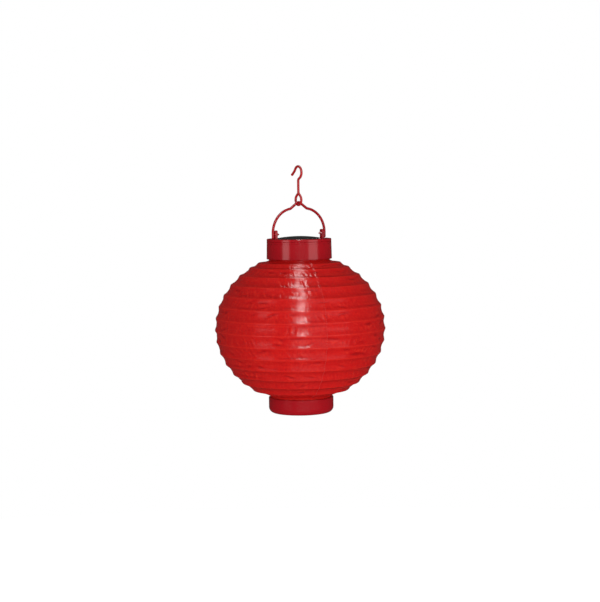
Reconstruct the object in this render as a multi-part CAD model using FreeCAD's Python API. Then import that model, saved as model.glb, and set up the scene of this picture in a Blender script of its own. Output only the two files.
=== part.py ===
"""Hanging globe lantern: a fabric shell on wire hoops between a solar lid with a bail and a base cup.

Millimetres, +Z up. The origin is the top of the inside of the hook's crook, where the lantern hangs,
and the lantern's axis is the Z axis. The bail lies in the XZ plane and the hook in the YZ plane.
"""

import FreeCAD
import Part
import math
import os

Vector = FreeCAD.Vector

# Hook: coated steel wire in the YZ plane, its crook open towards +Y
hook_wire = 3.2
hook_drop = 49.4
crook_radius = 7.8
crook_close_angle = 154.0
crook_neck_radius = 3.5
crook_entry_angle = 58.0
tip_bend_radius = 14.0
tip_flare_angle = 20.0
tip_length = 6.0
eye_radius = 6.6
eye_neck_radius = 3.0
eye_spread_angle = 50.0
eye_return_length = 4.0

# Bail: moulded rod, its hump held in the hook's eye
bail_rod = 3.4
bail_inset = 2.2
bail_leg = 5.77
hump_arm = 10.70
bail_shoulder_angle = 10.0
hump_angle = 36.0
hump_foot_radius = 6.0
hump_top_radius = 4.5
bail_end_below_pivot = 4.2
bail_in_eye_fit = 0.08
pin_diameter = 3.0
pin_fit = 0.06
snap_head_diameter = 4.8
snap_head_length = 3.4
snap_tip_diameter = 0.8
snap_gap = 0.3

# Lid: flange, plug skirt and lugs
lid_radius = 41.6
lid_band = 3.2
lid_plate_bottom = 6.0
lid_recess_depth = 3.6
lid_skirt_wall = 2.1
lid_skirt_depth = 10.0
lid_edge_round = 0.8
bail_end_gap = 0.25
lug_above_pivot = 5.15
lug_thickness = 3.4
lug_depth = 5.0
lug_gap = 0.5

# Solar stack in the lid's recess
lens_to_lug = 1.5
lens_rise = 3.2
lens_wall = 1.2
lens_flange = 1.4
gasket_width = 1.6
panel_side = 42.0
panel_corner = 5.0
panel_thickness = 1.6
cell_count = 4
cell_gap = 0.6
cell_margin = 1.2
cell_thickness = 0.2
seat_gap = 0.2

# Housing under the lid
housing_wall = 1.8
housing_floor = 2.0
housing_flange_gap = 0.8
screw_to_flange_edge = 1.6
screw_head_gap = 0.4
lid_screw_count = 3
screw_shank = 2.0
screw_head = 3.6
screw_head_height = 1.3
screw_bite = 4.4

# Battery, an AAA cell along X
cell_diameter = 10.5
cell_length = 44.5
cell_cap_diameter = 3.8
cell_cap_height = 0.8
battery_above_floor = 2.0
board_above_cell = 1.9
cell_side_gap = 0.7
door_to_diffuser = 0.05
contact_thickness = 0.5
contact_to_wall = 0.25
spring_strip = 0.4
spring_width = 5.0
spring_length = 8.4
spring_space = 4.0
door_thickness = 1.6
door_lap = 2.5
door_tab = 8.0

# Light and its board
board_length = 46.0
board_width = 20.0
board_thickness = 1.6
board_y = 7.0
board_below_plate = 6.0
led_diameter = 5.0
led_body_height = 8.6
led_leg = 0.5
led_leg_pitch = 2.54
led_leg_length = 4.0
diffuser_radius = 6.0
diffuser_flange = 1.4
diffuser_drop = 4.0
lead_diameter = 1.2

# Switch
switch_length = 12.0
switch_width = 6.0
switch_height = 5.0
switch_travel = 2.5
switch_x = -8.0
switch_y = 15.0
knob_width = 3.0
knob_length = 3.6
knob_gap = 0.2
knob_below_floor = 2.2

# Collar, shell and base
collar_height = 22.8
collar_flare = 0.4
collar_fit = 0.06
collar_bead = 2.6
collar_groove = 0.5
collar_edge_round = 0.6
shell_height = 178.3
globe_radius = 110.0
hem_gap = 0.3
hem_depth = 5.0
fabric_wall = 0.4
fabric_gap = 0.35
hoop_wire = 1.4
hoop_count = 14
neck_hoop_angle = 61.4
second_hoop_angle = 54.7
last_hoop_angle = -56.1
clamp_ring_width = 2.6
clamp_ring_height = 6.0
clamp_ring_gap = 0.3
cup_radius = 41.8
cup_height = 20.3
cup_wall = 2.0
cup_floor = 2.0
cup_bottom_round = 7.5

# The bail's arch, worked out from its span: the arc takes what the hump leaves
bail_half_span = lid_radius - bail_inset
hump = math.radians(hump_angle)
shoulder = math.radians(bail_shoulder_angle)
hump_half_span = (
    hump_top_radius * math.sin(hump)
    + hump_arm * math.cos(hump)
    + hump_foot_radius * (math.sin(hump) - math.sin(shoulder))
)
hump_drop = (
    hump_top_radius * (1 - math.cos(hump))
    + hump_arm * math.sin(hump)
    + hump_foot_radius * (math.cos(shoulder) - math.cos(hump))
)
bail_arc_radius = (bail_half_span - hump_half_span) / (1 - math.sin(shoulder))
bail_rise = hump_drop + bail_arc_radius * math.cos(shoulder) + bail_leg - bail_end_below_pivot
pivot_height = bail_end_below_pivot + bail_rod / 2 + bail_end_gap

# Levels, worked down from the origin
crook_top = hook_wire / 2
eye_bottom = crook_top - hook_drop
bail_peak = eye_bottom + (hook_wire + bail_rod) / 2 + bail_in_eye_fit
pivot_z = bail_peak - bail_rise
rim_z = pivot_z - pivot_height
plate_bottom_z = rim_z - lid_plate_bottom
recess_z = rim_z - lid_recess_depth
collar_top_z = rim_z - lid_band
collar_bottom_z = collar_top_z - collar_height
cup_top_z = collar_bottom_z - shell_height
base_z = cup_top_z - cup_height
housing_depth = (
    board_below_plate + board_thickness + board_above_cell + cell_diameter + battery_above_floor + housing_floor
)
housing_bottom_z = plate_bottom_z - housing_depth
floor_top_z = housing_bottom_z + housing_floor
collar_bore = lid_radius - lid_skirt_wall + collar_fit
board_top_z = plate_bottom_z - board_below_plate
board_bottom_z = board_top_z - board_thickness
cell_z = floor_top_z + battery_above_floor + cell_diameter / 2
battery_y = -(diffuser_radius + door_to_diffuser + cell_diameter / 2 + cell_side_gap)
lug_outer = bail_half_span - bail_rod / 2 - lug_gap
lug_inner = lug_outer - lug_thickness
lens_radius = lug_inner - lens_to_lug
housing_flange_radius = lid_radius - 2 * lid_skirt_wall - housing_flange_gap
screw_circle_radius = housing_flange_radius - screw_to_flange_edge
housing_radius = screw_circle_radius - screw_head / 2 - screw_head_gap
collar_top_radius = lid_radius
collar_bottom_radius = lid_radius + collar_flare
mouth_radius = collar_bottom_radius
top_hem_radius = collar_bottom_radius - lid_skirt_wall - hem_gap
bottom_hem_radius = cup_radius - cup_wall - hem_gap


def bent_path(place, heading, moves, anchor, anchor_point):
    """A flat wire path of straight runs (a length) and tangent bends (radius, turn in degrees, left positive).

    place maps the flat (u, v) to space, and the path's point number `anchor` lands on anchor_point.
    """
    u, v, angle = 0.0, 0.0, math.radians(heading)
    points = [(u, v)]
    middles = []
    for move in moves:
        if isinstance(move, tuple):
            radius, turn = move[0], math.radians(move[1])
            chord = 2 * radius * math.sin(abs(turn) / 2)
            half = 2 * radius * math.sin(abs(turn) / 4)
            middles.append((u + half * math.cos(angle + turn / 4), v + half * math.sin(angle + turn / 4)))
            u += chord * math.cos(angle + turn / 2)
            v += chord * math.sin(angle + turn / 2)
            angle += turn
        else:
            middles.append(None)
            u += move * math.cos(angle)
            v += move * math.sin(angle)
        points.append((u, v))
    shift_u = anchor_point[0] - points[anchor][0]
    shift_v = anchor_point[1] - points[anchor][1]
    spots = [place(a + shift_u, b + shift_v) for a, b in points]
    edges = []
    for start, end, middle in zip(spots, spots[1:], middles):
        if middle is None:
            edges.append(Part.LineSegment(start, end).toShape())
        else:
            through = place(middle[0] + shift_u, middle[1] + shift_v)
            edges.append(Part.Arc(start, through, end).toShape())
    return Part.Wire(edges)


def rod_along(path, diameter):
    """A round rod swept along a tangent path."""
    first = path.OrderedEdges[0]
    start = path.OrderedVertexes[0].Point
    tangent = first.tangentAt(first.FirstParameter)
    section = Part.Wire([Part.Circle(start, tangent, diameter / 2).toShape()])
    return path.makePipeShell([section], True, True)


def turned(points):
    """A solid of revolution about Z from a closed outline of (radius, z) points."""
    outline = Part.makePolygon([Vector(r, 0, z) for r, z in points + points[:1]])
    return Part.Face(outline).revolve(Vector(0, 0, 0), Vector(0, 0, 1), 360)


def disc(radius, bottom, top, x=0.0, y=0.0):
    return Part.makeCylinder(radius, top - bottom, Vector(x, y, bottom))


def ring(outer, inner, bottom, top):
    return disc(outer, bottom, top).cut(disc(inner, bottom - 1, top + 1))


def box(x0, x1, y0, y1, z0, z1):
    return Part.makeBox(x1 - x0, y1 - y0, z1 - z0, Vector(x0, y0, z0))


def rod_x(diameter, x0, x1, y, z):
    start = Vector(min(x0, x1), y, z)
    return Part.makeCylinder(diameter / 2, abs(x1 - x0), start, Vector(1, 0, 0))


def rounded_edges(solid, size, wanted):
    """Fillet the circular edges whose (radius, z) the test accepts."""
    chosen = []
    for edge in solid.Edges:
        if isinstance(edge.Curve, Part.Circle) and wanted(edge.Curve.Radius, edge.Curve.Center.z):
            chosen.append(edge)
    return solid.makeFillet(size, chosen)


def near(a, b):
    return abs(a - b) < 1e-6


def offset_line(points, distance):
    """The open outline moved inwards by a distance, with mitred corners. Outlines run from top to bottom."""
    normals = []
    for (r0, z0), (r1, z1) in zip(points, points[1:]):
        length = math.hypot(r1 - r0, z1 - z0)
        normals.append(((z1 - z0) / length, (r0 - r1) / length))
    moved = []
    for i, (r, z) in enumerate(points):
        before = normals[max(i - 1, 0)]
        after = normals[min(i, len(normals) - 1)]
        scale = distance / (1 + before[0] * after[0] + before[1] * after[1])
        moved.append((r + (before[0] + after[0]) * scale, z + (before[1] + after[1]) * scale))
    return moved


# Hook and bail


def hook():
    neck_turn = crook_close_angle - 90
    to_neck = crook_radius * math.sin(math.radians(crook_close_angle))
    neck_side = crook_neck_radius * (1 - math.cos(math.radians(neck_turn)))
    crook_return = (to_neck - neck_side) / math.cos(math.radians(neck_turn - 90))
    crook_depth = (
        crook_radius * (1 - math.cos(math.radians(crook_close_angle)))
        + crook_return * math.cos(math.radians(neck_turn))
        + crook_neck_radius * math.sin(math.radians(neck_turn))
    )
    spread = math.radians(eye_spread_angle)
    eye_side = eye_radius * math.cos(spread) - eye_neck_radius * (1 - math.cos(spread))
    eye_straight = eye_side / math.sin(spread)
    eye_depth = (
        eye_neck_radius * math.sin(spread)
        + eye_straight * math.cos(spread)
        + eye_radius * math.sin(spread)
        + eye_radius
    )
    shank = hook_drop - crook_depth - eye_depth
    moves = [
        tip_length,
        (tip_bend_radius, tip_flare_angle),
        (crook_radius, -crook_entry_angle),
        (crook_radius, -crook_close_angle),
        crook_return,
        (crook_neck_radius, neck_turn),
        shank,
        (eye_neck_radius, eye_spread_angle),
        eye_straight,
        (eye_radius, -90 - eye_spread_angle),
        (eye_radius, -90 - eye_spread_angle),
        eye_return_length,
    ]
    heading = crook_entry_angle - tip_flare_angle
    path = bent_path(lambda u, v: Vector(0, -u, v), heading, moves, 3, (0, crook_top))
    return rod_along(path, hook_wire)


def bail():
    half = [
        (hump_top_radius, -hump_angle),
        hump_arm,
        (hump_foot_radius, hump_angle - bail_shoulder_angle),
        (bail_arc_radius, bail_shoulder_angle - 90),
        bail_leg,
    ]
    moves = half[::-1] + half
    path = bent_path(lambda u, v: Vector(u, 0, v), 90, moves, len(half), (0, bail_peak))
    solid = rod_along(path, bail_rod)
    for side in (-1, 1):
        end = Vector(side * bail_half_span, 0, pivot_z - bail_end_below_pivot)
        head_base = lug_inner - snap_gap
        head = Part.makeCone(
            snap_head_diameter / 2,
            snap_tip_diameter / 2,
            snap_head_length,
            Vector(side * head_base, 0, pivot_z),
            Vector(-side, 0, 0),
        )
        pin = rod_x(pin_diameter, side * (head_base - 1), side * bail_half_span, 0, pivot_z)
        solid = solid.fuse([Part.makeSphere(bail_rod / 2, end), pin, head])
    return solid.removeSplitter()


# Lid


def lug(side):
    middle = side * (lug_inner + lug_outer) / 2
    post = box(
        middle - lug_thickness / 2,
        middle + lug_thickness / 2,
        -lug_depth / 2,
        lug_depth / 2,
        rim_z - lid_band,
        pivot_z + lug_above_pivot,
    )
    tops = [
        edge
        for edge in post.Edges
        if near(edge.CenterOfMass.z, pivot_z + lug_above_pivot) and not near(edge.CenterOfMass.y, 0)
    ]
    post = post.makeFillet(lug_depth / 3, tops)
    hole = rod_x(pin_diameter + 2 * pin_fit, middle - lug_thickness, middle + lug_thickness, 0, pivot_z)
    return post.cut(hole)


def screw_places():
    """Where the lid's screws stand: evenly round the housing's flange, clear of the lugs."""
    step = 360 / lid_screw_count
    angles = [math.radians(90 + k * step) for k in range(lid_screw_count)]
    return [(screw_circle_radius * math.cos(a), screw_circle_radius * math.sin(a)) for a in angles]


def lid_shell():
    flange = disc(lid_radius, rim_z - lid_band, rim_z)
    flange = rounded_edges(flange, lid_edge_round, lambda r, z: near(z, rim_z))
    skirt_outer = lid_radius - lid_skirt_wall
    skirt = ring(
        skirt_outer,
        skirt_outer - lid_skirt_wall,
        collar_top_z - lid_skirt_depth,
        rim_z - lid_band,
    )
    plate = disc(skirt_outer, plate_bottom_z, rim_z - lid_band)
    solid = flange.fuse([skirt, plate])
    solid = solid.cut(disc(lens_radius + seat_gap, recess_z, rim_z + 1))
    for x, y in lead_holes():
        solid = solid.cut(disc(lead_diameter / 2 + seat_gap, plate_bottom_z - 1, rim_z, x, y))
    for x, y in screw_places():
        top = plate_bottom_z + screw_bite + seat_gap
        solid = solid.cut(disc(screw_shank / 2 + 0.02, plate_bottom_z - 1, top, x, y))
    return solid.fuse([lug(-1), lug(1)]).removeSplitter()


def lens_cover():
    """Clear dome: a spherical cap on a flat flange."""
    bottom = rim_z - lens_flange
    sphere_radius = (lens_radius**2 + lens_rise**2) / (2 * lens_rise)
    centre = rim_z + lens_rise - sphere_radius
    cap = Part.makeSphere(sphere_radius, Vector(0, 0, centre)).common(disc(lens_radius, rim_z, rim_z + lens_rise))
    solid = cap.fuse(disc(lens_radius, bottom, rim_z))
    hollow = Part.makeSphere(sphere_radius - lens_wall, Vector(0, 0, centre))
    hollow = hollow.common(disc(lens_radius - gasket_width, bottom - 1, rim_z + lens_rise))
    return solid.cut(hollow).removeSplitter()


def lens_gasket():
    return ring(lens_radius, lens_radius - gasket_width, recess_z, rim_z - lens_flange)


def panel_outline(side, bottom, top):
    """A square tile with cut corners."""
    half, cut = side / 2, panel_corner
    corners = [(half, half - cut), (half - cut, half)]
    points = []
    for quarter in range(4):
        turn = math.radians(90 * quarter)
        for x, y in corners:
            across = x * math.cos(turn) - y * math.sin(turn)
            along = x * math.sin(turn) + y * math.cos(turn)
            points.append(Vector(across, along, bottom))
    return Part.Face(Part.makePolygon(points + points[:1])).extrude(Vector(0, 0, top - bottom))


def solar_panel():
    return panel_outline(panel_side, recess_z, recess_z + panel_thickness)


def panel_bezel():
    """Dark filler round the panel, under the lens."""
    disc_radius = lens_radius - gasket_width - seat_gap
    window = panel_outline(panel_side + 2 * seat_gap, recess_z - 1, rim_z)
    return disc(disc_radius, recess_z, recess_z + panel_thickness).cut(window)


def solar_cells():
    """Cell strips across the panel, one solid each."""
    span = panel_side - 2 * cell_margin
    width = (span - (cell_count - 1) * cell_gap) / cell_count
    top = recess_z + panel_thickness
    outline = panel_outline(span, top, top + cell_thickness)
    strips = []
    for k in range(cell_count):
        x = -span / 2 + k * (width + cell_gap)
        strips.append(outline.common(box(x, x + width, -span, span, top - 1, top + 1)))
    return Part.makeCompound(strips)


# Housing, battery, board and switch


def battery_bay():
    """Half-lengths of the opening in the floor that takes the cell."""
    return cell_length / 2 + spring_space, cell_diameter / 2 + cell_side_gap


def lid_housing():
    top = plate_bottom_z
    flange_bottom = top - housing_wall
    inner = housing_radius - housing_wall
    solid = disc(housing_radius, housing_bottom_z, top).fuse(disc(housing_flange_radius, flange_bottom, top))
    solid = solid.cut(disc(inner, floor_top_z, top + 1))
    half_bay, half_wide = battery_bay()
    bay = box(
        -half_bay,
        half_bay,
        battery_y - half_wide,
        battery_y + half_wide,
        housing_bottom_z - 1,
        floor_top_z + 1,
    )
    solid = solid.cut(bay)
    solid = solid.cut(disc(diffuser_radius + seat_gap, housing_bottom_z - 1, floor_top_z + 1))
    reach = knob_length / 2 + knob_gap
    slot = box(
        switch_x - reach,
        switch_x + switch_travel + reach,
        switch_y - knob_width / 2 - knob_gap,
        switch_y + knob_width / 2 + knob_gap,
        housing_bottom_z - 1,
        floor_top_z + 1,
    )
    solid = solid.cut(slot)
    for x, y in screw_places():
        solid = solid.cut(disc(screw_shank / 2 + seat_gap, flange_bottom - 1, top + 1, x, y))
    for side in (-1, 1):
        post = disc(2.0, floor_top_z, board_bottom_z, side * (board_length / 2 - 5), board_y + 5)
        solid = solid.fuse(post)
    x, y = door_screw_place()
    return solid.cut(disc(screw_shank / 2 + 0.02, housing_bottom_z - 1, floor_top_z + 1, x, y)).removeSplitter()


def lid_screws():
    screws = []
    for x, y in screw_places():
        head_top = plate_bottom_z - housing_wall
        head = disc(screw_head / 2, head_top - screw_head_height, head_top, x, y)
        shank = disc(screw_shank / 2, head_top, plate_bottom_z + screw_bite, x, y)
        slot = box(x - screw_head, x + screw_head, y - 0.3, y + 0.3, head_top - 2, head_top - 0.7)
        screws.append(head.fuse(shank).cut(slot))
    return Part.makeCompound(screws)


def door_screw_place():
    return 0.0, battery_y - battery_bay()[1] - door_tab / 2


def battery_door():
    half_bay, half_wide = battery_bay()
    top = housing_bottom_z
    x, y = door_screw_place()
    plate = box(
        -half_bay - door_lap,
        half_bay + door_lap,
        battery_y - half_wide - door_lap,
        battery_y + half_wide,
        top - door_thickness,
        top,
    )
    inside = disc(housing_radius - 1, top - door_thickness, top)
    tab = disc(door_tab / 2, top - door_thickness, top, x, y)
    lip = box(
        -half_bay + seat_gap,
        half_bay - seat_gap,
        battery_y - half_wide + seat_gap,
        battery_y + half_wide - seat_gap,
        top,
        top + housing_floor,
    )
    solid = plate.common(inside).fuse([tab, lip])
    return solid.cut(disc(screw_shank / 2 + seat_gap, top - 5, top + 5, x, y)).removeSplitter()


def door_screw():
    x, y = door_screw_place()
    head_top = housing_bottom_z - door_thickness
    head = disc(screw_head / 2, head_top - screw_head_height, head_top, x, y)
    shank = disc(screw_shank / 2, head_top, floor_top_z, x, y)
    slot = box(x - screw_head, x + screw_head, y - 0.3, y + 0.3, head_top - 2, head_top - 0.7)
    return head.fuse(shank).cut(slot)


def battery():
    half = cell_length / 2
    can = rod_x(cell_diameter, -half, half - cell_cap_height, battery_y, cell_z)
    can = can.makeFillet(0.5, [e for e in can.Edges if isinstance(e.Curve, Part.Circle)])
    cap = rod_x(cell_cap_diameter, half - cell_cap_height, half, battery_y, cell_z)
    return can.fuse(cap)


def battery_contacts():
    """Formed strips at both ends of the cell."""
    half_high = cell_diameter / 2 - 0.5
    room = disc(housing_radius - housing_wall - contact_to_wall, floor_top_z, plate_bottom_z)
    strips = []
    for x in (cell_length / 2, -cell_length / 2 - spring_space + contact_thickness):
        strip = box(
            x,
            x + contact_thickness,
            battery_y - half_high,
            battery_y + half_high,
            cell_z - half_high,
            cell_z + half_high,
        )
        strips.append(strip.common(room))
    return Part.makeCompound(strips)


def battery_spring():
    """Bent leaf that presses the cell towards the far contact."""
    back = -cell_length / 2 - spring_space + 2 * contact_thickness
    front = -cell_length / 2
    foot = spring_length / 2
    knee = foot - 1.2
    crown = 0.9
    strip = [(front, -crown), (back + spring_strip, -knee), (back + spring_strip, -foot)]
    outer = [(x, z) for x, z in reversed(strip)] + [(x, -z) for x, z in strip]
    points = outer + offset_line(outer, -spring_strip)[::-1]
    corners = [Vector(x, battery_y - spring_width / 2, cell_z + z) for x, z in points]
    face = Part.Face(Part.makePolygon(corners + corners[:1]))
    return face.extrude(Vector(0, spring_width, 0))


def circuit_board():
    board = box(
        -board_length / 2,
        board_length / 2,
        board_y - board_width / 2,
        board_y + board_width / 2,
        board_bottom_z,
        board_top_z,
    )
    for side in (-1, 1):
        board = board.cut(disc(led_leg / 2 + 0.1, board_bottom_z - 1, board_top_z + 1, side * led_leg_pitch / 2, 0))
    return board


def driver_chip():
    return box(-10, -5, board_y - 2, board_y + 2, board_top_z, board_top_z + 1.6)


def inductor():
    return disc(3.0, board_top_z, board_top_z + 4.0, 8.0, board_y)


def led():
    top = board_bottom_z - led_leg_length
    radius = led_diameter / 2
    body = disc(radius, top - led_body_height + radius, top).fuse(disc(radius + 0.4, top - 1, top))
    body = body.fuse(Part.makeSphere(radius, Vector(0, 0, top - led_body_height + radius)))
    legs = [
        disc(led_leg / 2, top - 1, board_top_z, side * led_leg_pitch / 2, 0) for side in (-1, 1)
    ]
    return body.fuse(legs).removeSplitter()


def led_diffuser():
    """Frosted button in the floor that spreads the light down."""
    bottom = housing_bottom_z - diffuser_drop
    flange = disc(diffuser_radius + 1.5, floor_top_z, floor_top_z + diffuser_flange)
    button = disc(diffuser_radius, bottom, floor_top_z)
    button = rounded_edges(button, diffuser_drop - 0.5, lambda r, z: near(z, bottom))
    solid = flange.fuse(button)
    return solid.cut(disc(diffuser_radius - 1.5, bottom + 1.5, floor_top_z + 5)).removeSplitter()


def switch_body():
    body = box(
        switch_x - switch_length / 2 + switch_travel / 2,
        switch_x + switch_length / 2 + switch_travel / 2,
        switch_y - switch_width / 2,
        switch_y + switch_width / 2,
        floor_top_z,
        floor_top_z + switch_height,
    )
    reach = knob_length / 2 + knob_gap
    cavity = box(
        switch_x - reach,
        switch_x + switch_travel + reach,
        switch_y - knob_width / 2 - knob_gap,
        switch_y + knob_width / 2 + knob_gap,
        floor_top_z - 1,
        floor_top_z + switch_height - 1.5,
    )
    return body.cut(cavity)


def switch_knob():
    return box(
        switch_x - knob_length / 2,
        switch_x + knob_length / 2,
        switch_y - knob_width / 2,
        switch_y + knob_width / 2,
        housing_bottom_z - knob_below_floor,
        floor_top_z + switch_height - 1.5 - knob_gap,
    )


def lead_holes():
    return [(-16.0, board_y), (16.0, board_y)]


def straight_lead(x):
    """A panel lead: down through the plate to the board."""
    return disc(lead_diameter / 2, board_top_z, recess_z, x, board_y)


def battery_lead(side):
    """A battery lead: from the contact's top edge up and over to the board's underside."""
    x = side * (board_length / 2 - 2)
    start_z = cell_z + cell_diameter / 2 + 0.2
    rise = board_bottom_z - start_z
    run = board_y - board_width / 2 + 2 - battery_y
    bend = min(rise / 2, run / 2)
    moves = [
        rise - 2 * bend,
        (bend, -90),
        run - 2 * bend,
        (bend, 90),
    ]
    moves = [m for m in moves if isinstance(m, tuple) or m > 1e-6]
    path = bent_path(lambda u, v: Vector(x, u, v), 90, moves, 0, (battery_y, start_z))
    return rod_along(path, lead_diameter)


# Collar, shell and base


def top_collar():
    """Jar-like collar: top bead, groove, slightly flared wall and a rounded lower edge."""
    bead_bottom = collar_top_z - collar_bead
    groove_bottom = bead_bottom - collar_groove
    bore_bottom = collar_bottom_radius - lid_skirt_wall
    wall = turned(
        [
            (collar_bore, collar_top_z),
            (collar_top_radius - 0.6, collar_top_z),
            (collar_top_radius, collar_top_z - 0.6),
            (collar_top_radius, bead_bottom),
            (collar_top_radius - 0.3, bead_bottom - 0.1),
            (collar_top_radius - 0.3, groove_bottom + 0.1),
            (collar_top_radius, groove_bottom),
            (collar_bottom_radius, collar_bottom_z),
            (bore_bottom, collar_bottom_z),
            (collar_bore, collar_top_z - lid_skirt_depth - 1),
        ]
    )
    return rounded_edges(
        wall,
        collar_edge_round,
        lambda r, z: near(z, collar_bottom_z) and near(r, collar_bottom_radius),
    )


def clamp_ring(hem_radius, bottom):
    outer = hem_radius - fabric_wall - clamp_ring_gap
    return ring(outer, outer - clamp_ring_width, bottom, bottom + clamp_ring_height)


def hoop_angles():
    """Ellipse angles of the hoops above the equator, top first: a neck hoop, then evenly spaced ones."""
    spaced = hoop_count - 1
    step = (second_hoop_angle - last_hoop_angle) / (spaced - 1)
    return [neck_hoop_angle] + [second_hoop_angle - k * step for k in range(spaced)]


def shell_outline():
    """The fabric's outer line from the top hem to the bottom hem: straight from hoop to hoop."""
    middle = (collar_bottom_z + cup_top_z) / 2
    half_height = shell_height / 2 / math.sqrt(1 - (mouth_radius / globe_radius) ** 2)
    ridges = []
    for angle in hoop_angles():
        turn = math.radians(angle)
        ridges.append((globe_radius * math.cos(turn), middle + half_height * math.sin(turn)))
    top_mouth = (top_hem_radius, collar_bottom_z - fabric_gap)
    bottom_mouth = (bottom_hem_radius, cup_top_z + fabric_gap)
    top_hem = (top_hem_radius, collar_bottom_z + hem_depth)
    bottom_hem = (bottom_hem_radius, cup_top_z - hem_depth)
    return [top_hem, top_mouth] + ridges + [bottom_mouth, bottom_hem]


def hoop_centres():
    """(radius, z) of each hoop's wire, inside the fabric's ridge."""
    inside = fabric_wall + fabric_gap + hoop_wire / 2
    return offset_line(shell_outline(), inside)[2:-2]


def fabric_shell():
    outer = shell_outline()
    return turned(outer + offset_line(outer, fabric_wall)[::-1])


def rib_hoop(radius, z):
    return Part.makeTorus(radius, hoop_wire / 2, Vector(0, 0, z))


def base_cup():
    cup = disc(cup_radius, base_z, cup_top_z)
    cup = rounded_edges(cup, cup_bottom_round, lambda r, z: near(z, base_z))
    inner_radius = cup_radius - cup_wall
    floor = base_z + cup_floor
    hollow = disc(inner_radius, floor, cup_top_z + 1)
    hollow = rounded_edges(hollow, cup_bottom_round - cup_wall, lambda r, z: near(z, floor))
    cup = cup.cut(hollow)
    return rounded_edges(cup, 0.6, lambda r, z: near(z, cup_top_z) and near(r, cup_radius))


def nodes():
    solids = {
        "hook": hook(),
        "bail": bail(),
        "lid_shell": lid_shell(),
        "lens_cover": lens_cover(),
        "lens_gasket": lens_gasket(),
        "panel_bezel": panel_bezel(),
        "solar_panel": solar_panel(),
        "solar_cells": solar_cells(),
        "lid_housing": lid_housing(),
        "lid_screws": lid_screws(),
        "battery_door": battery_door(),
        "door_screw": door_screw(),
        "battery": battery(),
        "battery_contacts": battery_contacts(),
        "battery_spring": battery_spring(),
        "circuit_board": circuit_board(),
        "driver_chip": driver_chip(),
        "inductor": inductor(),
        "led": led(),
        "led_diffuser": led_diffuser(),
        "switch_body": switch_body(),
        "switch_knob": switch_knob(),
        "panel_lead_black": straight_lead(lead_holes()[0][0]),
        "panel_lead_red": straight_lead(lead_holes()[1][0]),
        "battery_lead_black": battery_lead(-1),
        "battery_lead_red": battery_lead(1),
        "top_collar": top_collar(),
        "top_clamp_ring": clamp_ring(top_hem_radius, collar_bottom_z),
        "fabric_shell": fabric_shell(),
        "base_cup": base_cup(),
        "base_clamp_ring": clamp_ring(bottom_hem_radius, cup_top_z - clamp_ring_height),
    }
    for number, (radius, z) in enumerate(hoop_centres(), 1):
        solids[f"rib_hoop_{number:02d}"] = rib_hoop(radius, z)
    return solids


os.makedirs("parts", exist_ok=True)
for name, shape in nodes().items():
    shape.exportStep(f"parts/{name}.step")
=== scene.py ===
"""The looks of a hanging globe lantern with a solar lid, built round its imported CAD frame.

Lengths are metres, apart from the few that are said to be millimetres."""

import math
import random
from collections import namedtuple

import bmesh
import bpy
import numpy as np
from mathutils import Matrix, Quaternion, Vector, noise


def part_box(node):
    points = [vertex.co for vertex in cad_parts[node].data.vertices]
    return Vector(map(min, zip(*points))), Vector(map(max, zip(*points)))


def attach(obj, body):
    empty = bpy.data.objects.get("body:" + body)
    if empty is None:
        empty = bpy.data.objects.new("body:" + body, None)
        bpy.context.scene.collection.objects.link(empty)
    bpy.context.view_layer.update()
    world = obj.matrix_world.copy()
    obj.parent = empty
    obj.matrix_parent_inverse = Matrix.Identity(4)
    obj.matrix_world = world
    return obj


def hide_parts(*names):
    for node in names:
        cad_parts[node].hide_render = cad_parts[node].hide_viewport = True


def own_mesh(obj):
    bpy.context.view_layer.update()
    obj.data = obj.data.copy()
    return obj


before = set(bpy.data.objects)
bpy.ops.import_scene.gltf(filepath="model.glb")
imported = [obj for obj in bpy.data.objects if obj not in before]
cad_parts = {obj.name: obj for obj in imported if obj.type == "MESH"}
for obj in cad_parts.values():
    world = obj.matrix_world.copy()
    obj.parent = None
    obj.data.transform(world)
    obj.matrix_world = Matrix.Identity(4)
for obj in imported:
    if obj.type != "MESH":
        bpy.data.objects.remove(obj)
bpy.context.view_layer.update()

MM = 0.001
collar_low, collar_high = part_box("top_collar")
cup_low, cup_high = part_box("base_cup")
shell_low, shell_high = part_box("fabric_shell")


# ---------------------------------------------------------------- camera

view_heading = math.radians(33.0)
view_pitch = math.radians(4.3)
view_roll = math.radians(-0.78)
view_distance = 2.1
view_drop = 66.0 * MM
view_shift = 0.2 * MM
to_camera = Vector((-math.sin(view_heading), -math.cos(view_heading), 0.0))
to_right = Vector((math.cos(view_heading), -math.sin(view_heading), 0.0))
aim = Vector((0.0, 0.0, (collar_low.z + collar_high.z) / 2 - view_drop)) + to_right * view_shift

camera_data = bpy.data.cameras.new("camera")
camera_data.sensor_fit = "HORIZONTAL"
camera_data.sensor_width = 36.0
camera_data.lens = 97.7
camera = bpy.data.objects.new("camera", camera_data)
bpy.context.scene.collection.objects.link(camera)
sight = (to_camera * math.cos(view_pitch) + Vector((0.0, 0.0, math.sin(view_pitch)))).normalized()
camera.location = aim + sight * view_distance
camera.rotation_mode = "QUATERNION"
camera.rotation_quaternion = sight.to_track_quat("Z", "Y") @ Quaternion((0.0, 0.0, 1.0), view_roll)
bpy.context.scene.camera = camera
bpy.context.scene.view_settings.view_transform = "Standard"


# ---------------------------------------------------------------- node helpers


def linear(code):
    """An sRGB hex colour as the linear colour that Blender's sockets take."""
    parts = [int(code[i:i + 2], 16) / 255 for i in (1, 3, 5)]
    return tuple(p / 12.92 if p <= 0.04045 else ((p + 0.055) / 1.055) ** 2.4 for p in parts) + (1.0,)


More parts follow.
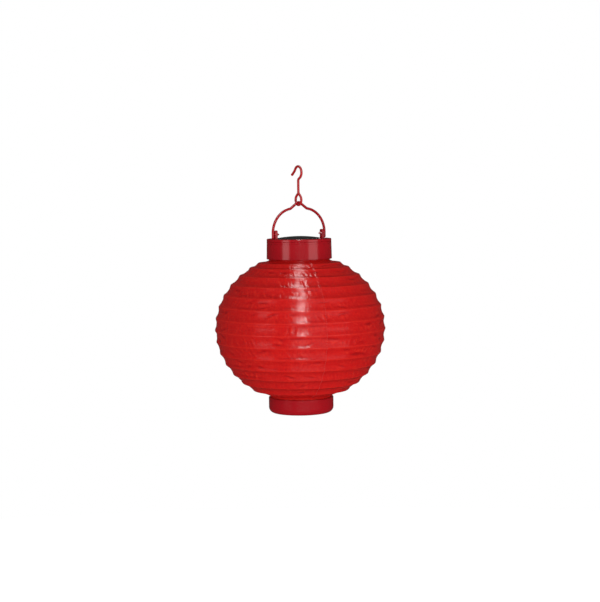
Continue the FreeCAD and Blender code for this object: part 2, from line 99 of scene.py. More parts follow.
def add(tree, kind, settings, inputs):
    """Adds a node of that kind with its settings, and sets or links its inputs."""
    node = tree.nodes.new("ShaderNode" + kind)
    for name, value in settings.items():
        setattr(node, name, value)
    for socket, value in inputs.items():
        if isinstance(value, bpy.types.NodeSocket):
            tree.links.new(value, node.inputs[socket])
        else:
            node.inputs[socket].default_value = value
    return node


def new_finish(name):
    """An empty material: returns it, its node tree and its Object coordinates."""
    material = bpy.data.materials.new(name)
    material.use_nodes = True
    material.node_tree.nodes.clear()
    place = add(material.node_tree, "TexCoord", {}, {}).outputs["Object"]
    return material, material.node_tree, place


def surface(tree, inputs):
    """Ends a material in one Principled surface."""
    shader = add(tree, "BsdfPrincipled", {}, inputs)
    add(tree, "OutputMaterial", {}, {"Surface": shader.outputs["BSDF"]})


# ---------------------------------------------------------------- finishes


def gloss_abs():
    """ABS moulded against polished steel: hard gloss, faint flow marks, hairline handling scratches."""
    material, tree, place = new_finish("gloss_red_abs")
    flow = add(tree, "TexNoise", {}, {"Vector": place, "Scale": 45.0, "Detail": 2.0, "Distortion": 0.6})
    colour = add(tree, "Mix", {"data_type": "RGBA"},
                 {0: flow.outputs["Fac"], 6: linear("#9A0915"), 7: linear("#A30C18")})
    # Hairlines about 0.4 mm apart and 12 mm long, as a cloth leaves them.
    stretch = add(tree, "Mapping", {}, {"Vector": place, "Rotation": (0.3, 0.2, 0.7),
                                        "Scale": (80.0, 900.0, 2400.0)})
    hairs = add(tree, "TexNoise", {}, {"Vector": stretch.outputs["Vector"], "Scale": 1.0, "Detail": 3.0})
    rough = add(tree, "MapRange", {}, {"Value": hairs.outputs["Fac"], "From Min": 0.35, "From Max": 0.75,
                                       "To Min": 0.14, "To Max": 0.2})
    ripple = add(tree, "TexNoise", {}, {"Vector": place, "Scale": 160.0, "Detail": 1.0})
    bump = add(tree, "Bump", {}, {"Height": ripple.outputs["Fac"], "Strength": 0.05, "Distance": 0.2 * MM})
    surface(tree, {"Base Color": colour.outputs[2], "Roughness": rough.outputs["Result"], "IOR": 1.53,
                   "Normal": bump.outputs["Normal"]})
    return material


def dipped_wire():
    """Steel wire dipped in red vinyl: soft gloss, slightly uneven coat, dull rub marks."""
    material, tree, place = new_finish("vinyl_dipped_wire")
    coat = add(tree, "TexNoise", {}, {"Vector": place, "Scale": 260.0, "Detail": 2.0})
    rub = add(tree, "TexNoise", {}, {"Vector": place, "Scale": 900.0, "Detail": 4.0})
    colour = add(tree, "Mix", {"data_type": "RGBA"},
                 {0: coat.outputs["Fac"], 6: linear("#A50D12"), 7: linear("#B91519")})
    rough = add(tree, "MapRange", {}, {"Value": rub.outputs["Fac"], "From Min": 0.35, "From Max": 0.7,
                                       "To Min": 0.3, "To Max": 0.44})
    bump = add(tree, "Bump", {}, {"Height": coat.outputs["Fac"], "Strength": 0.06, "Distance": 0.2 * MM})
    surface(tree, {"Base Color": colour.outputs[2], "Roughness": rough.outputs["Result"], "IOR": 1.52,
                   "Normal": bump.outputs["Normal"]})
    return material


def satin_moulding(name, dark, light, low, high):
    """Polypropylene, nylon or PVC with an even, fine satin grain, as a spark-eroded mould or a die leaves it.
    Its colour runs from dark to light, and its roughness from low to high."""
    material, tree, place = new_finish(name)
    cloud = add(tree, "TexNoise", {}, {"Vector": place, "Scale": 70.0, "Detail": 2.0})
    colour = add(tree, "Mix", {"data_type": "RGBA"},
                 {0: cloud.outputs["Fac"], 6: linear(dark), 7: linear(light)})
    # The grain is about 0.15 mm; drawn at 0.6 mm so that it shows.
    grain = add(tree, "TexNoise", {}, {"Vector": place, "Scale": 1600.0, "Detail": 2.0})
    rough = add(tree, "MapRange", {}, {"Value": grain.outputs["Fac"], "To Min": low, "To Max": high})
    bump = add(tree, "Bump", {}, {"Height": grain.outputs["Fac"], "Strength": 0.25, "Distance": 0.1 * MM})
    surface(tree, {"Base Color": colour.outputs[2], "Roughness": rough.outputs["Result"], "IOR": 1.5,
                   "Normal": bump.outputs["Normal"]})
    return material


def clear_styrene():
    """Clear polystyrene, moulded: as clear as glass, a little wavy, with a fine haze of dust."""
    material, tree, place = new_finish("clear_styrene")
    haze = add(tree, "TexNoise", {}, {"Vector": place, "Scale": 500.0, "Detail": 4.0})
    rough = add(tree, "MapRange", {}, {"Value": haze.outputs["Fac"], "From Min": 0.4, "From Max": 0.75,
                                       "To Min": 0.02, "To Max": 0.14})
    wave = add(tree, "TexNoise", {}, {"Vector": place, "Scale": 60.0, "Detail": 1.0})
    bump = add(tree, "Bump", {}, {"Height": wave.outputs["Fac"], "Strength": 0.15, "Distance": 0.3 * MM})
    surface(tree, {"Base Color": linear("#F4F7F6"), "Roughness": rough.outputs["Result"], "IOR": 1.59,
                   "Transmission Weight": 1.0, "Normal": bump.outputs["Normal"]})
    return material


def frosted_styrene():
    """Milky polystyrene with a sand-blasted face: it spreads the lamp's light."""
    material, tree, place = new_finish("frosted_styrene")
    # Blasted pits are about 0.1 mm; drawn at 0.7 mm so that they show.
    grit = add(tree, "TexNoise", {}, {"Vector": place, "Scale": 1500.0, "Detail": 3.0})
    rough = add(tree, "MapRange", {}, {"Value": grit.outputs["Fac"], "To Min": 0.4, "To Max": 0.6})
    bump = add(tree, "Bump", {}, {"Height": grit.outputs["Fac"], "Strength": 0.4, "Distance": 0.1 * MM})
    surface(tree, {"Base Color": linear("#EFEDE6"), "Roughness": rough.outputs["Result"], "IOR": 1.59,
                   "Transmission Weight": 0.6, "Normal": bump.outputs["Normal"]})
    return material


def lamp_resin():
    """Clear epoxy of a warm white lamp: water clear, faintly yellow from the phosphor."""
    material, tree, place = new_finish("lamp_epoxy")
    depth = add(tree, "TexNoise", {}, {"Vector": place, "Scale": 400.0, "Detail": 1.0})
    colour = add(tree, "Mix", {"data_type": "RGBA"},
                 {0: depth.outputs["Fac"], 6: linear("#F2E9B0"), 7: linear("#FBF6D8")})
    surface(tree, {"Base Color": colour.outputs[2], "Roughness": 0.06, "IOR": 1.54,
                   "Transmission Weight": 0.7})
    return material


def seal_rubber():
    """EPDM rubber cord, moulded: dull black with a bloom of grey dust."""
    material, tree, place = new_finish("epdm_rubber")
    bloom = add(tree, "TexNoise", {}, {"Vector": place, "Scale": 350.0, "Detail": 5.0})
    colour = add(tree, "Mix", {"data_type": "RGBA"},
                 {0: bloom.outputs["Fac"], 6: linear("#141414"), 7: linear("#2B2B2A")})
    bump = add(tree, "Bump", {}, {"Height": bloom.outputs["Fac"], "Strength": 0.3, "Distance": 0.1 * MM})
    surface(tree, {"Base Color": colour.outputs[2], "Roughness": 0.75, "Normal": bump.outputs["Normal"]})
    return material


def panel_board():
    """Black glass-epoxy board: the glass weave shows faintly through the resin."""
    material, tree, place = new_finish("black_glass_epoxy")
    # Glass cloth of 0.8 mm pitch.
    weave = add(tree, "TexChecker", {}, {"Vector": place, "Scale": 1250.0, "Color1": linear("#1C2024"),
                                         "Color2": linear("#24292D")})
    dirt = add(tree, "TexNoise", {}, {"Vector": place, "Scale": 200.0, "Detail": 3.0})
    rough = add(tree, "MapRange", {}, {"Value": dirt.outputs["Fac"], "To Min": 0.25, "To Max": 0.45})
    surface(tree, {"Base Color": weave.outputs["Color"], "Roughness": rough.outputs["Result"], "IOR": 1.55})
    return material


def silicon_cells():
    """Polycrystalline silicon under resin: blue-black crystal flakes, silver fingers crossed by bus bars."""
    material, tree, place = new_finish("silicon_cells")
    # Crystals about 3 mm across.
    flakes = add(tree, "TexVoronoi", {}, {"Vector": place, "Scale": 330.0})
    flake_shade = add(tree, "Mix", {"data_type": "RGBA"},
                      {0: flakes.outputs["Color"], 6: linear("#14181F"), 7: linear("#2A323D")})
    axes = add(tree, "SeparateXYZ", {}, {"Vector": place})
    # Fingers run along X every 1.6 mm and are 0.14 mm wide; drawn at twice that so that they show.
    finger_step = add(tree, "Math", {"operation": "PINGPONG"}, {0: axes.outputs["Y"], 1: 0.8 * MM})
    finger = add(tree, "Math", {"operation": "LESS_THAN"}, {0: finger_step.outputs[0], 1: 0.14 * MM})
    # Bus bars run along Y every 10.1 mm and are 0.7 mm wide.
    bar_step = add(tree, "Math", {"operation": "PINGPONG"}, {0: axes.outputs["X"], 1: 5.05 * MM})
    bar = add(tree, "Math", {"operation": "LESS_THAN"}, {0: bar_step.outputs[0], 1: 0.35 * MM})
    silver = add(tree, "Math", {"operation": "MAXIMUM"}, {0: finger.outputs[0], 1: bar.outputs[0]})
    colour = add(tree, "Mix", {"data_type": "RGBA"},
                 {0: silver.outputs[0], 6: flake_shade.outputs[2], 7: linear("#A9ADB0")})
    rough = add(tree, "MapRange", {}, {"Value": flakes.outputs["Distance"], "To Min": 0.18, "To Max": 0.34})
    surface(tree, {"Base Color": colour.outputs[2], "Roughness": rough.outputs["Result"], "IOR": 1.5,
                   "Coat Weight": 0.5, "Coat Roughness": 0.08})
    return material


def nickel_plate():
    """Nickel-plated steel: bright metal with fine drawing lines and grey spots."""
    material, tree, place = new_finish("nickel_plated_steel")
    lines = add(tree, "Mapping", {}, {"Vector": place, "Scale": (300.0, 300.0, 5000.0)})
    drawn = add(tree, "TexNoise", {}, {"Vector": lines.outputs["Vector"], "Scale": 1.0, "Detail": 3.0})
    spots = add(tree, "TexNoise", {}, {"Vector": place, "Scale": 700.0, "Detail": 4.0})
    colour = add(tree, "Mix", {"data_type": "RGBA"},
                 {0: spots.outputs["Fac"], 6: linear("#B9B5AC"), 7: linear("#D8D5CE")})
    rough = add(tree, "MapRange", {}, {"Value": drawn.outputs["Fac"], "To Min": 0.18, "To Max": 0.42})
    surface(tree, {"Base Color": colour.outputs[2], "Metallic": 1.0, "Roughness": rough.outputs["Result"]})
    return material


def lacquered_hoop():
    """Spring steel wire with red lacquer: thin semi-gloss coat with small runs."""
    material, tree, place = new_finish("lacquered_spring_wire")
    runs = add(tree, "TexNoise", {}, {"Vector": place, "Scale": 320.0, "Detail": 3.0})
    colour = add(tree, "Mix", {"data_type": "RGBA"},
                 {0: runs.outputs["Fac"], 6: linear("#8F1218"), 7: linear("#B31A20")})
    rough = add(tree, "MapRange", {}, {"Value": runs.outputs["Fac"], "To Min": 0.28, "To Max": 0.45})
    bump = add(tree, "Bump", {}, {"Height": runs.outputs["Fac"], "Strength": 0.25, "Distance": 0.15 * MM})
    surface(tree, {"Base Color": colour.outputs[2], "Roughness": rough.outputs["Result"], "IOR": 1.5,
                   "Normal": bump.outputs["Normal"]})
    return material


def cell_sleeve():
    """Shrunk PVC sleeve on the battery: one green and one pale band, finely rippled all over."""
    material, tree, place = new_finish("shrink_sleeve")
    axes = add(tree, "SeparateXYZ", {}, {"Vector": place})
    band = add(tree, "Math", {"operation": "GREATER_THAN"}, {0: axes.outputs["X"], 1: 11.0 * MM})
    ripple = add(tree, "TexNoise", {}, {"Vector": place, "Scale": 500.0, "Detail": 2.0})
    green = add(tree, "Mix", {"data_type": "RGBA"},
                {0: ripple.outputs["Fac"], 6: linear("#2E7444"), 7: linear("#37834F")})
    colour = add(tree, "Mix", {"data_type": "RGBA"},
                 {0: band.outputs[0], 6: green.outputs[2], 7: linear("#D5D8D4")})
    bump = add(tree, "Bump", {}, {"Height": ripple.outputs["Fac"], "Strength": 0.2, "Distance": 0.1 * MM})
    surface(tree, {"Base Color": colour.outputs[2], "Roughness": 0.24, "IOR": 1.53,
                   "Normal": bump.outputs["Normal"]})
    return material


def board_laminate():
    """Green solder mask on glass epoxy: copper tracks show as lighter bands under it."""
    material, tree, place = new_finish("green_solder_mask")
    # Tracks run every 2.3 mm, with cross-links every 6 mm.
    tracks = add(tree, "TexBrick", {"offset": 0.35}, {
        "Vector": place, "Color1": linear("#145C34"), "Color2": linear("#0F4A2A"),
        "Mortar": linear("#2C8453"), "Scale": 260.0, "Mortar Size": 0.07, "Brick Width": 1.6,
        "Row Height": 0.6})
    dust = add(tree, "TexNoise", {}, {"Vector": place, "Scale": 300.0, "Detail": 3.0})
    rough = add(tree, "MapRange", {}, {"Value": dust.outputs["Fac"], "To Min": 0.22, "To Max": 0.4})
    bump = add(tree, "Bump", {}, {"Height": tracks.outputs["Fac"], "Strength": 0.3, "Distance": 0.05 * MM})
    surface(tree, {"Base Color": tracks.outputs["Color"], "Roughness": rough.outputs["Result"], "IOR": 1.5,
                   "Normal": bump.outputs["Normal"]})
    return material


# The size of the cloth's map in millimetres, round the globe's middle and from hem to hem, both rounded.
cloth_round = 690.0
cloth_down = 240.0


def taffeta():
    """Dyed nylon taffeta, stretched over the hoops: smooth filament threads that shine in a streak across
    their run, with fine crinkles that break the shine up."""
    material, tree, place = new_finish("nylon_taffeta")
    threads = add(tree, "UVMap", {"uv_map": "cloth"}, {}).outputs["UV"]
    # The cloth's own map, in millimetres at the globe's middle.
    cloth_place = add(tree, "Mapping", {}, {"Vector": threads, "Scale": (cloth_round, cloth_down, 1.0)})
    cloth = cloth_place.outputs["Vector"]
    # Slubs: thicker threads that run 30 mm round the globe and are 0.7 mm wide.
    slub_place = add(tree, "Mapping", {}, {"Vector": threads, "Scale": (23.0, 340.0, 1.0)}).outputs["Vector"]
    slubs = add(tree, "TexNoise", {}, {"Vector": slub_place, "Scale": 1.0, "Detail": 3.0, "Roughness": 0.6})
    # Warp threads that run 13 mm down the globe, drawn 0.8 mm wide so that they show.
    warp_place = add(tree, "Mapping", {}, {"Vector": threads, "Scale": (900.0, 18.0, 1.0)}).outputs["Vector"]
    warp = add(tree, "TexNoise", {}, {"Vector": warp_place, "Scale": 1.0, "Detail": 2.0, "Roughness": 0.6})
    dye = add(tree, "TexNoise", {}, {"Vector": place, "Scale": 26.0, "Detail": 3.0})
    dyed = add(tree, "Mix", {"data_type": "RGBA"},
               {0: dye.outputs["Fac"], 6: linear("#BC070D"), 7: linear("#C81010")})
    streak = add(tree, "MapRange", {}, {"Value": slubs.outputs["Fac"], "From Min": 0.3, "From Max": 0.7,
                                        "To Min": 0.0, "To Max": 0.5})
    slubbed = add(tree, "Mix", {"data_type": "RGBA"},
                  {0: streak.outputs["Result"], 6: dyed.outputs[2], 7: linear("#CE1B12")})
    shade = add(tree, "MapRange", {}, {"Value": warp.outputs["Fac"], "From Min": 0.35, "From Max": 0.7,
                                       "To Min": 0.0, "To Max": 0.35})
    colour = add(tree, "Mix", {"data_type": "RGBA"},
                 {0: shade.outputs["Result"], 6: slubbed.outputs[2], 7: linear("#97050B")})
    # Painted highlight: stretched thin over each hoop, the cloth's ridge catches the light, so a lighter,
    # more orange line is painted along it, in patches.
    hoop_line = add(tree, "Attribute", {"attribute_name": "over_hoop"}, {})
    patchy = add(tree, "Math", {"operation": "MULTIPLY"},
                 {0: hoop_line.outputs["Fac"], 1: slubs.outputs["Fac"]})
    painted_ridge_highlight = add(tree, "MapRange", {}, {"Value": patchy.outputs[0], "From Min": 0.12,
                                      "To Min": 0.0, "To Max": 0.8})
    colour = add(tree, "Mix", {"data_type": "RGBA"},
                 {0: painted_ridge_highlight.outputs["Result"], 6: colour.outputs[2], 7: linear("#DE2A1B")})
    # Painted shade and painted glow: thin cloth with light behind it is brighter on folds that stand out and
    # deeper in the hollows. That light is painted into the colour here, darker in the hollows and lighter on
    # the raised folds, from each fold's height and from crumples of 5 by 4 mm.
    fold = add(tree, "Attribute", {"attribute_name": "fold"}, {})
    crumple_place = add(tree, "Mapping", {}, {"Vector": threads, "Scale": (128.0, 62.0, 1.0)})
    crumple = add(tree, "TexNoise", {}, {"Vector": crumple_place.outputs["Vector"], "Scale": 1.0,
                                         "Detail": 4.0, "Roughness": 0.62, "Distortion": 1.4})
    depth = add(tree, "Math", {"operation": "MULTIPLY_ADD"},
                {0: fold.outputs["Fac"], 1: 1.5, 2: crumple.outputs["Fac"]})
    # Painted shade in the hollows.
    painted_hollow_shade = add(tree, "MapRange", {}, {"Value": depth.outputs[0], "From Min": 0.85, "From Max": 1.22,
                                              "To Min": 0.62, "To Max": 0.0})
    colour = add(tree, "Mix", {"data_type": "RGBA"},
                 {0: painted_hollow_shade.outputs["Result"], 6: colour.outputs[2], 7: linear("#93040B")})
    # Painted glow on the raised folds.
    glow = add(tree, "MapRange", {}, {"Value": depth.outputs[0], "From Min": 1.26, "From Max": 1.7,
                                      "To Min": 0.0, "To Max": 0.6})
    colour = add(tree, "Mix", {"data_type": "RGBA"},
                 {0: glow.outputs["Result"], 6: colour.outputs[2], 7: linear("#E0301D")})
    # Taffeta has about 4 threads a millimetre; drawn at one a millimetre so that it shows.
    plain_weave = add(tree, "TexChecker", {}, {"Vector": cloth, "Scale": 1.0, "Color1": (1.0, 1.0, 1.0, 1.0),
                                               "Color2": (0.0, 0.0, 0.0, 1.0)})
    weave = add(tree, "Bump", {}, {"Height": plain_weave.outputs["Fac"], "Strength": 0.08,
                                   "Distance": 0.05 * MM})
    slub_bump = add(tree, "Bump", {}, {"Height": slubs.outputs["Fac"], "Strength": 0.3, "Distance": 0.05 * MM,
                                       "Normal": weave.outputs["Normal"]})
    # Crinkles: small sharp facets 2 to 4 mm across.
    crinkle = add(tree, "TexNoise", {}, {"Vector": cloth, "Scale": 0.42, "Detail": 4.0, "Roughness": 0.62,
                                         "Distortion": 0.9})
    facets = add(tree, "TexVoronoi", {"feature": "F1"}, {"Vector": cloth, "Scale": 0.3, "Randomness": 1.0})
    folds = add(tree, "Math", {"operation": "MULTIPLY_ADD"},
                {0: facets.outputs["Distance"], 1: 0.35, 2: crinkle.outputs["Fac"]})
    bump = add(tree, "Bump", {}, {"Height": folds.outputs[0], "Strength": 0.5, "Distance": 0.24 * MM,
                                  "Normal": slub_bump.outputs["Normal"]})
    rough = add(tree, "MapRange", {}, {"Value": warp.outputs["Fac"], "To Min": 0.21, "To Max": 0.28})
    grain = add(tree, "Tangent", {"direction_type": "UV_MAP", "uv_map": "cloth"}, {})
    surface(tree, {"Base Color": colour.outputs[2], "Roughness": rough.outputs["Result"], "IOR": 1.53,
                   "Specular IOR Level": 0.36, "Anisotropic": 0.96, "Anisotropic Rotation": 0.25,
                   "Tangent": grain.outputs["Tangent"], "Normal": bump.outputs["Normal"]})
    return material


def sewing_thread():
    """Spun polyester sewing thread, dyed: matt, with its twist showing as darker and lighter specks."""
    material, tree, place = new_finish("polyester_thread")
    twist = add(tree, "TexNoise", {}, {"Vector": place, "Scale": 2500.0, "Detail": 2.0})
    colour = add(tree, "Mix", {"data_type": "RGBA"},
                 {0: twist.outputs["Fac"], 6: linear("#8E0E14"), 7: linear("#D02A28")})
    bump = add(tree, "Bump", {}, {"Height": twist.outputs["Fac"], "Strength": 0.5, "Distance": 0.1 * MM})
    surface(tree, {"Base Color": colour.outputs[2], "Roughness": 0.6, "Normal": bump.outputs["Normal"]})
    return material


finishes = {
    "coated_wire": dipped_wire(),
    "red_plastic": gloss_abs(),
    "inner_plastic": satin_moulding("black_polypropylene", "#151517", "#1E1E20", 0.42, 0.6),
    "ring_plastic": satin_moulding("red_polypropylene", "#8A1119", "#9C151D", 0.38, 0.55),
    "clear_plastic": clear_styrene(),
    "frosted_plastic": frosted_styrene(),
    "seal_rubber": seal_rubber(),
    "panel_board": panel_board(),
    "cell_silicon": silicon_cells(),
    "plated_steel": nickel_plate(),
    "cell_sleeve": cell_sleeve(),
    "board_laminate": board_laminate(),
    "black_moulding": satin_moulding("black_nylon_moulding", "#0E0E10", "#18181A", 0.35, 0.5),
    "led_resin": lamp_resin(),
    "black_wire": satin_moulding("black_pvc_insulation", "#101010", "#1B1B1B", 0.4, 0.5),
    "red_wire": satin_moulding("red_pvc_insulation", "#B01414", "#C41C1C", 0.4, 0.5),
    "nylon": taffeta(),
    "hoop_steel": lacquered_hoop(),
}
thread_finish = sewing_thread()

slot_of = {}
for name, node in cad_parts.items():
    slot_of[name] = node.material_slots[0].material.name
    for held in node.material_slots:
        held.material = finishes[held.material.name]


# ---------------------------------------------------------------- smooth wire forms


def finish_piece(name, shape, material, body):
    """Turns a bmesh into a smooth object that rides on a body."""
    mesh = bpy.data.meshes.new(name)
    shape.to_mesh(mesh)
    shape.free()
    mesh.polygons.foreach_set("use_smooth", [True] * len(mesh.polygons))
    mesh.materials.append(material)
    piece = bpy.data.objects.new(name, mesh)
    bpy.context.scene.collection.objects.link(piece)
    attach(piece, body)
    return piece


weld_distance = 0.004 * MM
sharp_turn = math.radians(38.0)


def smooth_copy(name):
    """Replaces a node, whose body has the same name, by a copy with its facets joined and no stored normals,
    so that a bent rod shines in one clean line."""
    shape = bmesh.new()
    shape.from_mesh(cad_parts[name].data)
    bmesh.ops.remove_doubles(shape, verts=shape.verts, dist=weld_distance)
    for edge in shape.edges:
        edge.smooth = len(edge.link_faces) == 2 and edge.calc_face_angle() < sharp_turn
    for layer in list(shape.loops.layers.float_vector):
        shape.loops.layers.float_vector.remove(layer)
    piece = finish_piece(name + "_smooth", shape, finishes[slot_of[name]], name)
    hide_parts(name)


smooth_copy("hook")
smooth_copy("bail")


# ---------------------------------------------------------------- globe fabric


Row = namedtuple("Row", "place out band down length")

hoop_names = sorted(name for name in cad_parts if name.startswith("rib_hoop"))
# Bands of cloth, numbered from the top: 0 is the hem, and 1 runs from the mouth to the first hoop. Then there
# is one between each two hoops, one from the last hoop to the lower mouth, and the lower hem.
last_band = len(hoop_names) + 2
columns = 420
row_step = 1.75 * MM
hem_off_clamp = 0.7 * MM
mouth_gap = 0.35 * MM
cloth_over_wire = 0.75 * MM
# Beside a ridge the cloth falls away in a rounded bead, which has its own rows.
bead_rows = (0.9 * MM, 1.9 * MM, 3.0 * MM)
bead_depth = 1.35 * MM
bead_width = 3.9 * MM
# The hollow in the middle of a band, as a share of its length.
band_hollow = 0.02
# The width of the painted highlight along each ridge.
ridge_highlight_width = 0.9 * MM
# A fold of half this height takes its mark from 0.5 to 1 or 0.
fold_span = 2.4 * MM
seam_angle = math.radians(-106.5)
seam_lap = 8.0 * MM
lap_thickness = 0.3 * MM
seam_margin = 1.5 * MM


def hoop_centre(name):
    """Where a hoop's wire crosses the XZ plane, as (radius, height), and the wire's radius."""
    low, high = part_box(name)
    wire = (high.z - low.z) / 2
    return Vector((high.x - wire, (low.z + high.z) / 2)), wire


def shell_stations():
    """Hem, mouth, one ridge over each hoop, mouth and hem: (radius, height) from the top down."""
    hem_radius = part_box("top_clamp_ring")[1].x + hem_off_clamp
    top = [Vector((hem_radius, shell_high.z)), Vector((hem_radius, collar_low.z - mouth_gap))]
    foot = [Vector((hem_radius, cup_high.z + mouth_gap)), Vector((hem_radius, shell_low.z))]
    centres = [hoop_centre(name) for name in hoop_names]
    around = [top[-1]] + [centre for centre, wire in centres] + [foot[0]]
    ridges = []
    for before, (centre, wire), after in zip(around, centres, around[2:]):
        run = (after - before).normalized()
        ridges.append(centre + Vector((-run.y, run.x)) * (wire + cloth_over_wire))
    return top + ridges + foot


def shell_rows(stations):
    """The rows of the cloth from hem to hem. Each has its place, its outward direction, its band, how far
    down the band it is, and the band's length."""
    rows = []
    for band in range(last_band + 1):
        start, end = stations[band], stations[band + 1]
        length = (end - start).length
        run = (end - start) / length
        out = Vector((-run.y, run.x))
        at_top = list(bead_rows) if band > 1 else []
        at_foot = [length - d for d in reversed(bead_rows)] if band < last_band - 1 else []
        first = at_top[-1] if at_top else 0.0
        final = at_foot[0] if at_foot else length
        count = max(2, round((final - first) / row_step))
        middle = [first + (final - first) * k / count for k in range(1, count)]
        for down in [0.0] + at_top + middle + at_foot:
            rows.append(Row(start + run * down, out, band, down, length))
    rows.append(Row(stations[-1], out, last_band, length, length))
    return rows


def ridge_distances(row):
    """How far a row is from the ridges at its band's ends. The foot hem counts its mouth as a ridge."""
    at_foot = 0 < row.band < last_band - 1
    return [d for d, there in ((row.down, row.band > 1), (row.length - row.down, at_foot)) if there]


def hollow(row):
    """How far in from the straight line between two hoops the taut cloth lies. The hems lie straight."""
    if row.band in (0, last_band):
        return 0.0
    share = row.down / row.length
    beads = min(1 - math.exp(-((d / bead_width) ** 2)) for d in ridge_distances(row))
    return bead_depth * beads + band_hollow * row.length * 4 * share * (1 - share)


def crease(field, x, y, around, slant, length, width, height):
    """Adds one fold to a band: a soft ridge with a hollow on each side, centred on x, y. In millimetres."""
    across_band = np.mod(field["x"] - x + around / 2, around) - around / 2
    down_band = field["y"] - y
    along = across_band * math.cos(slant) + down_band * math.sin(slant)
    across = -across_band * math.sin(slant) + down_band * math.cos(slant)
    ridge = (1 - (across / width) ** 2) * np.exp(-0.5 * (across / width) ** 2)
    field["height"] += height * ridge * np.exp(-((along / length) ** 2))


def band_folds(band, downs, length, around, luck):
    """The folds of one band, as a height for each of its rows and columns. All lengths are millimetres."""
    pucker_pitch = 8.5
    dent_pitch = 45
    sag_pitch = 60
    x = np.arange(columns) * around / columns
    field = {"x": x[None, :], "y": np.array(downs)[:, None], "height": np.zeros((len(downs), columns))}
    # Puckers: small slanted creases, stronger in some patches, that lean one way or the other by stretches.
    puckers = int(around / pucker_pitch)
    for k in range(puckers):
        place = (k + luck.uniform(0.1, 0.9)) * around / puckers
        patch = noise.noise(Vector((place * 0.02, band * 1.7, 3.0)))
        lean = noise.noise(Vector((place * 0.008, band * 2.3, 9.0)))
        strength = max(0.0, 0.55 + 1.3 * patch)
        slant = math.radians(luck.uniform(52.0, 74.0)) * (1 if lean > -0.05 else -1)
        crease(field, x=place, y=length * luck.uniform(0.35, 0.72), around=around, slant=slant,
               length=length * luck.uniform(0.22, 0.36), width=luck.uniform(1.1, 1.9),
               height=strength * luck.uniform(0.18, 0.42))
    # Dents: short hollows near the top or the foot of the band.
    for k in range(int(around / dent_pitch)):
        crease(field, x=luck.uniform(0, around), y=length * luck.choice((0.28, 0.7)), around=around,
               slant=math.radians(luck.uniform(-24.0, 24.0)), length=luck.uniform(4.5, 9.0),
               width=luck.uniform(1.3, 2.1), height=-luck.uniform(0.45, 0.95))
    # Sags: long level folds, most of them hollow.
    for k in range(int(around / sag_pitch)):
        crease(field, x=luck.uniform(0, around), y=length * luck.choice((0.22, 0.8)), around=around,
               slant=math.radians(luck.uniform(-3.0, 3.0)), length=luck.uniform(12.0, 26.0),
               width=luck.uniform(1.2, 1.8), height=luck.uniform(-0.75, 0.35))
    return field["height"]


def shell_heights(rows):
    """How far the cloth stands off its taut shape at each row and column, in metres. Folds die out towards a
    ridge, and they are weaker in a short band. The limits below are millimetres."""
    flat_beside_ridge = 0.5
    fold_rise = 2.6
    slack_band = 15.0
    luck = random.Random(11)
    heights = np.zeros((len(rows), columns))
    for band in range(1, last_band):
        members = [k for k, row in enumerate(rows) if row.band == band]
        length = rows[members[0]].length / MM
        downs = [rows[k].down / MM for k in members]
        around = 2 * math.pi * np.mean([rows[k].place.x for k in members]) / MM
        folds = band_folds(band, downs, length, around, luck)
        tight = min(1.0, length / slack_band) ** 2
        for number, down, line in zip(members, downs, folds):
            near = min(down, length - down)
            held = min(1.0, max(0.0, (near - flat_beside_ridge) / fold_rise)) ** 1.2
            heights[number] = line * held * tight * MM
    return heights


def column_of(corner):
    """The column of the cloth that a corner is in, counted round from +X."""
    return round(math.atan2(corner.co.y, corner.co.x) / (2 * math.pi) * columns) % columns


def spun_rows(rows):
    """The rows' chain of corners, spun once round the middle. Each corner keeps the number of its row."""
    shape = bmesh.new()
    row_tag = shape.verts.layers.int.new("row")
    chain = []
    for number, row in enumerate(rows):
        corner = shape.verts.new((row.place.x, 0.0, row.place.y))
        corner[row_tag] = number
        chain.append(corner)
    edges = [shape.edges.new(pair) for pair in zip(chain, chain[1:])]
    bmesh.ops.spin(shape, geom=chain + edges, cent=(0.0, 0.0, 0.0), axis=(0.0, 0.0, 1.0),
                   dvec=(0.0, 0.0, 0.0), angle=2 * math.pi, steps=columns,
                   use_merge=True, use_duplicate=False)
    return shape


def stretch_cloth(shape, rows, heights):
    """Moves each corner in by its hollow and out by its fold, and out by the lap beside the seam."""
    row_tag = shape.verts.layers.int["row"]
    for corner in shape.verts:
        row = rows[corner[row_tag]]
        angle = math.atan2(corner.co.y, corner.co.x)
        lift = heights[corner[row_tag], column_of(corner)] - hollow(row)
        lapped = ((angle - seam_angle) % (2 * math.pi)) * row.place.x
        lift += lap_thickness * max(0.0, 1 - lapped / seam_lap) ** 0.5
        reach = row.place.x + row.out.x * lift
        corner.co = (reach * math.cos(angle), reach * math.sin(angle), row.place.y + row.out.y * lift)


def map_cloth(shape, rows):
    """Gives the cloth its own map, from 0 to 1 round from the seam and from 0 to 1 down from the top hem."""
    row_tag = shape.verts.layers.int["row"]
    run = [0.0]
    for before, after in zip(rows, rows[1:]):
        run.append(run[-1] + (after.place - before.place).length)
    cloth_map = shape.loops.layers.uv.new("cloth")
    for face in shape.faces:
        turns = [((math.atan2(loop.vert.co.y, loop.vert.co.x) - seam_angle) / (2 * math.pi)) % 1.0
                 for loop in face.loops]
        wraps = max(turns) - min(turns) > 0.5
        for loop, turn in zip(face.loops, turns):
            past = 1.0 if wraps and turn < 0.5 else 0.0
            loop[cloth_map].uv = (turn + past, run[loop.vert[row_tag]] / run[-1])


